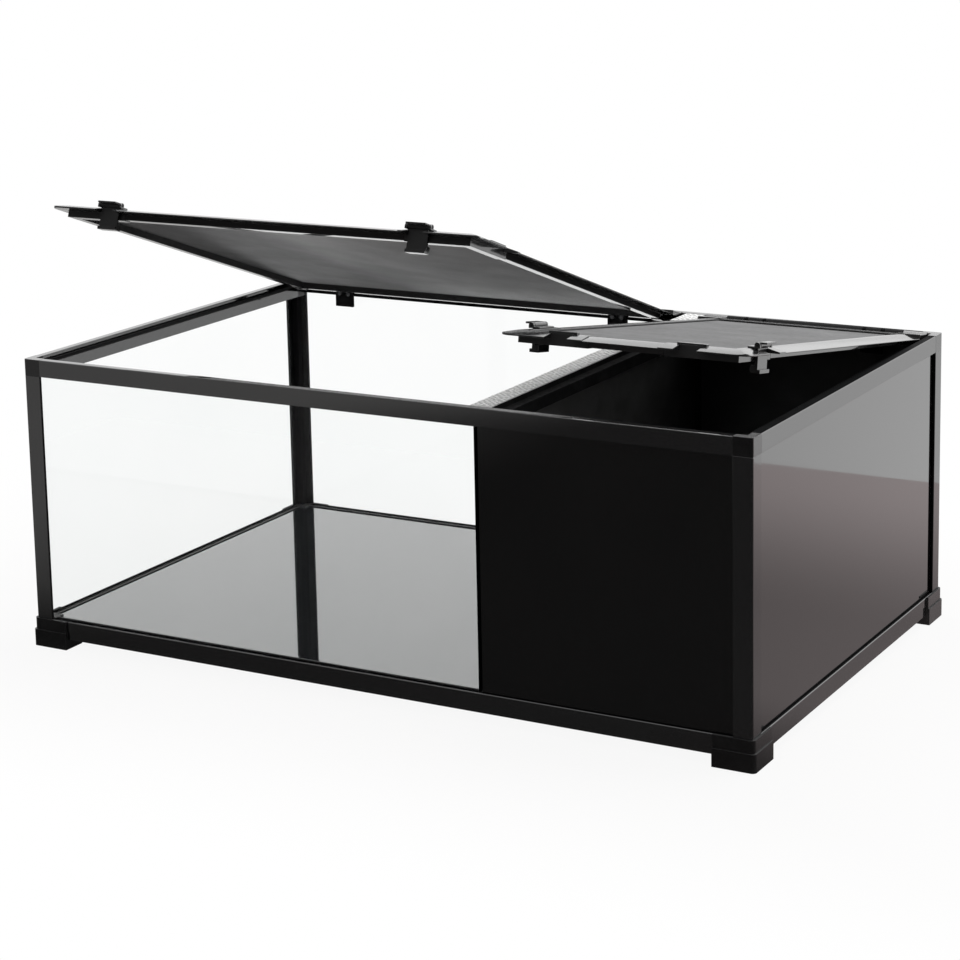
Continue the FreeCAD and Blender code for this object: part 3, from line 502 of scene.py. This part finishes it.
def polished_floor():
    """Black sheet, polished all over and almost flat."""
    made = Surface("polished_floor")
    made.colour(made.cloud(5, (0.004, 0.005, 0.006), (0.008, 0.009, 0.010)))
    made.roughness(made.spread(made.noise(8), (0.01, 0.03)))
    made.bump(made.noise(2.0, detail=1), strength=0.02, distance=2.0 * MM)
    made.value(IOR=1.7, Coat_Weight=1.0, Coat_IOR=1.6, Coat_Roughness=0.01)
    return made.material


def clear_glass():
    """Thin clear pane: it lets lamp light through, and has a few faint wipe marks."""
    made = Surface("clear_glass")
    made.colour(made.cloud(4, (0.955, 0.965, 0.962), (0.98, 0.985, 0.983)))
    made.roughness(made.spread(made.noise(7, stretch=(1, 1, 0.4)), (0.0, 0.01)))
    made.value(Transmission_Weight=1.0, IOR=1.16)
    clear = made.add("ShaderNodeBsdfTransparent").outputs["BSDF"]
    shadow = made.add("ShaderNodeLightPath").outputs["Is Shadow Ray"]
    made.join(made.mix_shader(shadow, made.shader.outputs["BSDF"], clear), made.output.inputs["Surface"])
    return made.material


def soft_seal():
    """Mottled black rubber."""
    made = Surface("soft_seal")
    made.colour(made.cloud(45, grey(0.010, 0.001), grey(0.022, 0.001)))
    made.roughness(made.spread(made.noise(80), (0.32, 0.5)))
    made.bump(made.noise(350, detail=2), strength=0.2, distance=0.4 * MM)
    return made.material


def studded_plastic():
    """Pale grey strip, speckled, with painted shade between its studs."""
    made = Surface("studded_plastic")
    low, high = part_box("divider_ribbed_strip")
    # Painted shade: the strip is darker low down between the studs and pale on their tops
    top = made.spread(made.parts(made.place)[2], (0.0, 1.0), ((low.z + high.z) / 2, high.z))
    pale = made.cloud(330, grey(0.94, -0.005), grey(1.0, -0.01))
    made.colour(made.blend(top, grey(0.60, -0.003), pale))
    made.roughness(made.spread(made.noise(90), (0.35, 0.55)))
    made.bump(made.noise(1500, detail=2), strength=0.2, distance=0.3 * MM)
    return made.material


def screen_wire():
    """Dark coated wire, lighter on its underside towards the divider: painted light from below."""
    made = Surface("screen_wire")
    # Painted light from below: the wire's underside is lighter, more so towards the divider
    under = made.spread(made.parts(made.facing)[2], (1.0, 0.0), (-0.2, 0.2))
    underlight_fade = made.spread(made.parts(made.place)[0], (0.0, 1.0), WIRE_UNDERLIGHT_FADE, smooth=True)
    paint_colour = made.cloud(20, grey(0.13, 0.002), grey(0.18, 0.002))
    lit_underside_colour = made.cloud(20, grey(0.48, 0.002), grey(0.60, 0.002))
    made.colour(made.blend(made.math("MULTIPLY", under, underlight_fade), paint_colour, lit_underside_colour))
    made.roughness(made.spread(made.noise(150), (0.3, 0.45)))
    made.value(Metallic=0.5)
    return made.material


def blackened_steel():
    """Dark drawn steel, bright along its edges."""
    made = Surface("blackened_steel")
    body = made.cloud(90, grey(0.03, 0.001), grey(0.07, 0.002))
    made.rubbed_colour(body, grey(0.3, 0.01), radius=0.4 * MM)
    made.roughness(made.spread(made.noise(600, stretch=(0.1, 1, 1)), (0.3, 0.5)))
    made.value(Metallic=1.0)
    return made.material


MATERIALS = {
    "frame_profile": frame_coat(),
    "lid_profile": lid_coat(),
    "moulded_black": moulded_plastic("moulded_plastic", coat_ior=1.6, polish_of=outer_skin),
    "lid_moulding": moulded_plastic("lid_moulding", coat_ior=2.3, polish_of=off_front),
    "dull_black": dull_moulding(),
    "dark_panel": polished_panel(),
    "floor_gloss": polished_floor(),
    "clear_glass": clear_glass(),
    "seal": soft_seal(),
    "ribbed_grey": studded_plastic(),
    "screen": screen_wire(),
    "steel": blackened_steel(),
}


def look_of(node):
    """Name of the material that a node shows."""
    if node in DULL_NODES:
        return "dull_black"
    if SLOTS[node] == "moulded_black" and node.startswith(LIDS):
        return "lid_moulding"
    return SLOTS[node]


def paint(item, look):
    """Give an object one material."""
    item.data.materials.clear()
    item.data.materials.append(MATERIALS[look])


def soften(item, width):
    """Break the sharp edges of a solid."""
    weld = item.modifiers.new("weld", "WELD")
    weld.merge_threshold = WELD_REACH
    bevel = item.modifiers.new("edge_break", "BEVEL")
    bevel.width = width
    bevel.segments = BREAK_SEGMENTS
    bevel.limit_method = "ANGLE"
    bevel.angle_limit = BREAK_ANGLE
    bevel.use_clamp_overlap = True
    normals = item.modifiers.new("normals", "WEIGHTED_NORMAL")
    normals.keep_sharp = False


def dress_nodes():
    """Finish every solid of the frame."""
    for node, item in NODES.items():
        paint(item, look_of(node))
        if SLOTS[node] in EDGE_BREAK:
            soften(item, EDGE_BREAK[SLOTS[node]])


def new_piece(name, shape, body, node):
    """New mesh piece that stands for a node and rides on its body."""
    mesh = bpy.data.meshes.new(node)
    shape.to_mesh(mesh)
    shape.free()
    item = put_in_scene(name, mesh)
    paint(item, SLOTS[node])
    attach(item, body)
    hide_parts(node)


def add_prism(shape, first_ring, last_ring):
    """Closed solid between two rings of points, with as many corners in each."""
    first = [shape.verts.new(point) for point in first_ring]
    last = [shape.verts.new(point) for point in last_ring]
    for step in range(len(first)):
        following = (step + 1) % len(first)
        shape.faces.new((first[step], first[following], last[following], last[step]))
    shape.faces.new(tuple(reversed(first)))
    shape.faces.new(tuple(last))


def add_wire(shape, start, end):
    """Straight wire from start to end."""
    along = (end - start).normalized()
    side = along.orthogonal().normalized()
    up = along.cross(side)
    turns = [2 * math.pi * (step + 0.5) / WIRE_SIDES for step in range(WIRE_SIDES)]
    spokes = [(side * math.cos(turn) + up * math.sin(turn)) * WIRE_RADIUS for turn in turns]
    add_prism(shape, [start + spoke for spoke in spokes], [end + spoke for spoke in spokes])


def spaced(low, high, pitch):
    """Places from low to high, about a pitch apart, with half a pitch left at each end."""
    count = max(1, round((high - low) / pitch))
    return [low + (high - low) * (step + 0.5) / count for step in range(count)]


def screen(lid):
    """Two layers of crossing wires in the lid's plane."""
    node = f"{lid}_screen"
    matrix = lid_matrix(lid)
    low, high = local_box(node, matrix)
    middle = (low.z + high.z) / 2
    upper = middle + WIRE_RADIUS * WIRE_OFFSET
    lower = middle - WIRE_RADIUS * WIRE_OFFSET
    shape = bmesh.new()
    for x in spaced(low.x, high.x, WIRE_PITCH):
        add_wire(shape, matrix @ Vector((x, low.y, upper)), matrix @ Vector((x, high.y, upper)))
    for y in spaced(low.y, high.y, WIRE_PITCH):
        add_wire(shape, matrix @ Vector((low.x, y, lower)), matrix @ Vector((high.x, y, lower)))
    new_piece(f"{lid}_wire_screen", shape, lid, node)


def rectangle(x, y, half_x, half_y, level):
    """Corners of a level rectangle about a place, anticlockwise from above."""
    signs = ((-1, -1), (1, -1), (1, 1), (-1, 1))
    return [(x + sign_x * half_x, y + sign_y * half_y, level) for sign_x, sign_y in signs]


def studded_strip():
    """Flat strip with staggered rows of small studs, a little out of line and narrower at the top."""
    node = "divider_ribbed_strip"
    low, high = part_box(node)
    base = low.z + (high.z - low.z) * STRIP_BASE
    middle = (low + high) / 2
    half = (high - low) / 2
    shape = bmesh.new()
    slab = [rectangle(middle.x, middle.y, half.x, half.y, level) for level in (low.z, base)]
    add_prism(shape, *slab)
    across = (high.x - low.x) / STUD_ROWS
    half_x = across * STUD_HALF_X
    half_y = STUD_PITCH * STUD_HALF_Y
    chance = random.Random(STUD_SEED)
    for row in range(STUD_ROWS):
        line = low.x + across * (row + 0.5)
        stagger = STUD_PITCH * (STUD_STAGGER if row % 2 else -STUD_STAGGER)
        for place in spaced(low.y + STUD_PITCH / 2, high.y - STUD_PITCH / 2, STUD_PITCH):
            x = line + across * chance.uniform(-STUD_DRIFT_X, STUD_DRIFT_X)
            y = place + stagger + STUD_PITCH * chance.uniform(-STUD_DRIFT_Y, STUD_DRIFT_Y)
            foot = rectangle(x, y, half_x, half_y, base)
            head = rectangle(x, y, half_x * STUD_TOP, half_y * STUD_TOP, high.z)
            add_prism(shape, foot, head)
    new_piece("divider_grey_strip", shape, "tank", node)


def camera():
    """Camera at the place and turn given at the top."""
    data = bpy.data.cameras.new("camera")
    data.lens = CAMERA_LENS
    data.sensor_width = SENSOR_WIDTH
    data.shift_y = CAMERA_SHIFT
    data.clip_end = CAMERA_REACH
    level = math.cos(CAMERA_ELEVATION)
    forward = Vector(
        (-math.sin(CAMERA_AZIMUTH) * level, math.cos(CAMERA_AZIMUTH) * level, -math.sin(CAMERA_ELEVATION))
    )
    right = Vector((math.cos(CAMERA_AZIMUTH), math.sin(CAMERA_AZIMUTH), 0))
    down = forward.cross(right)
    tilted_right = right * math.cos(CAMERA_ROLL) + down * math.sin(CAMERA_ROLL)
    tilted_down = down * math.cos(CAMERA_ROLL) - right * math.sin(CAMERA_ROLL)
    turn = Matrix((tilted_right, -tilted_down, -forward)).transposed()
    item = put_in_scene("camera", data)
    item.matrix_world = Matrix.Translation(CAMERA_PLACE) @ turn.to_4x4()
    bpy.context.scene.camera = item


def shadowed_white(made):
    """What the eye sees of the platform: white but for the tank's shadow."""
    x, y, _ = made.parts(made.place)
    beside = made.spread(made.math("ABSOLUTE", x), (0.0, 1.0), SHADOW_FADE_X, smooth=True)
    before = made.spread(made.math("ABSOLUTE", y), (0.0, 1.0), SHADOW_FADE_Y, smooth=True)
    away = made.math("MAXIMUM", beside, before)
    share = made.spread(away, (SHADOW_WHITE, 1.0), (0.0, 1.0))
    white = made.add("ShaderNodeEmission").outputs["Emission"]
    return made.mix_shader(share, made.shader.outputs["BSDF"], white)


def painted_reflection(made):
    """Painted reflection of the platform: it glows for glossy rays only, dim in front, brighter to the
    back, a little warm on the right.
    """
    x, y, _ = made.parts(made.place)
    near = made.spread(y, (0.0, NEAR_GLOW), NEAR_STRETCH, smooth=True)
    far = made.spread(y, (0.0, FAR_GLOW), FAR_STRETCH, smooth=True)
    left = made.spread(x, (CORNER_GLOW, 0.0), CORNER_STRETCH_X, smooth=True)
    corner = made.math("MULTIPLY", left, made.spread(y, (1.0, 0.0), CORNER_STRETCH_Y, smooth=True))
    glow = made.math("ADD", made.math("ADD", near, far), corner)
    front = made.spread(y, (1.0, 0.0), WARM_STRETCH_Y, smooth=True)
    pale = made.math("MAXIMUM", front, made.spread(x, (1.0, 0.0), WARM_STRETCH_X, smooth=True))
    light = made.add("ShaderNodeEmission")
    made.join(made.blend(pale, WARM_GLOW, PALE_GLOW), light.inputs["Color"])
    made.join(made.math("ADD", glow, BASE_GLOW), light.inputs["Strength"])
    return light.outputs["Emission"]


def platform():
    """Pale floor under the tank, which ends behind it."""
    mesh = bpy.data.meshes.new("platform")
    reach = PLATFORM_REACH
    back = PLATFORM_BACK
    corners = [(-reach, -reach, 0), (reach, -reach, 0), (reach, back, 0), (-reach, back, 0)]
    mesh.from_pydata(corners, [], [(0, 1, 2, 3)])
    item = put_in_scene("platform", mesh)
    made = Surface("platform")
    made.value(Base_Color=(*PLATFORM_COLOUR, 1), Roughness=PLATFORM_ROUGHNESS)
    # Glossy rays see the painted reflection glow instead of the lit platform
    glossy = made.add("ShaderNodeLightPath").outputs["Is Glossy Ray"]
    other = made.mix_shader(glossy, made.shader.outputs["BSDF"], painted_reflection(made))
    shade = made.mix_shader(made.sees_background(), other, shadowed_white(made))
    made.join(shade, made.output.inputs["Surface"])
    mesh.materials.append(made.material)


def world():
    """White behind the object; for light and reflections, bright at the back and dim in front."""
    studio = bpy.data.worlds.new("studio")
    studio.use_nodes = True
    bpy.context.scene.world = studio
    made = Tree(studio.node_tree)
    x, y, z = made.parts(made.add("ShaderNodeTexCoord").outputs["Generated"])
    level = made.spread(y, (FRONT_STRENGTH, BACK_STRENGTH), BACK_STRETCH, smooth=True)
    back = made.math("MULTIPLY", level, made.spread(z, (1.0, RAISED_GAIN), RAISED_STRETCH, smooth=True))
    left = made.spread(x, (LEFT_STRENGTH, 0.0), LEFT_STRETCH, smooth=True)
    sky = made.spread(z, (0.0, SKY_STRENGTH), SKY_STRETCH, smooth=True)
    strength = made.math("MAXIMUM", back, made.math("MAXIMUM", left, sky))
    surround = made.tree.nodes["Background"]
    surround.inputs["Color"].default_value = (1, 1, 1, 1)
    made.join(strength, surround.inputs["Strength"])
    white = made.add("ShaderNodeBackground")
    white.inputs["Color"].default_value = (1, 1, 1, 1)
    lit = surround.outputs["Background"]
    shade = made.mix_shader(made.sees_background(), lit, white.outputs["Background"])
    made.join(shade, made.tree.nodes["World Output"].inputs["Surface"])


def softbox(name, place, target, width, height, watts):
    """Rectangular lamp at a place, turned to its target and not seen itself."""
    data = bpy.data.lights.new(name, "AREA")
    data.shape = "RECTANGLE"
    data.size = width
    data.size_y = height
    data.energy = watts
    item = put_in_scene(name, data)
    item.location = place
    item.rotation_euler = (Vector(target) - Vector(place)).to_track_quat("-Z", "Y").to_euler()
    item.visible_camera = False
    item.visible_transmission = False


def lights():
    """One lamp above the tank, and one beyond its hide end."""
    softbox("top_light", place=(0.2, 0.6, 2.6), target=(0, 0, 0.2), width=2.4, height=1.6, watts=30)
    softbox("right_light", place=(2.4, 1.0, 1.1), target=(0.3, 0, 0.2), width=1.6, height=1.6, watts=25)


dress_nodes()
for lid_name in LIDS:
    screen(lid_name)
studded_strip()
camera()
platform()
world()
lights()
bpy.context.scene.view_settings.view_transform = "Standard"
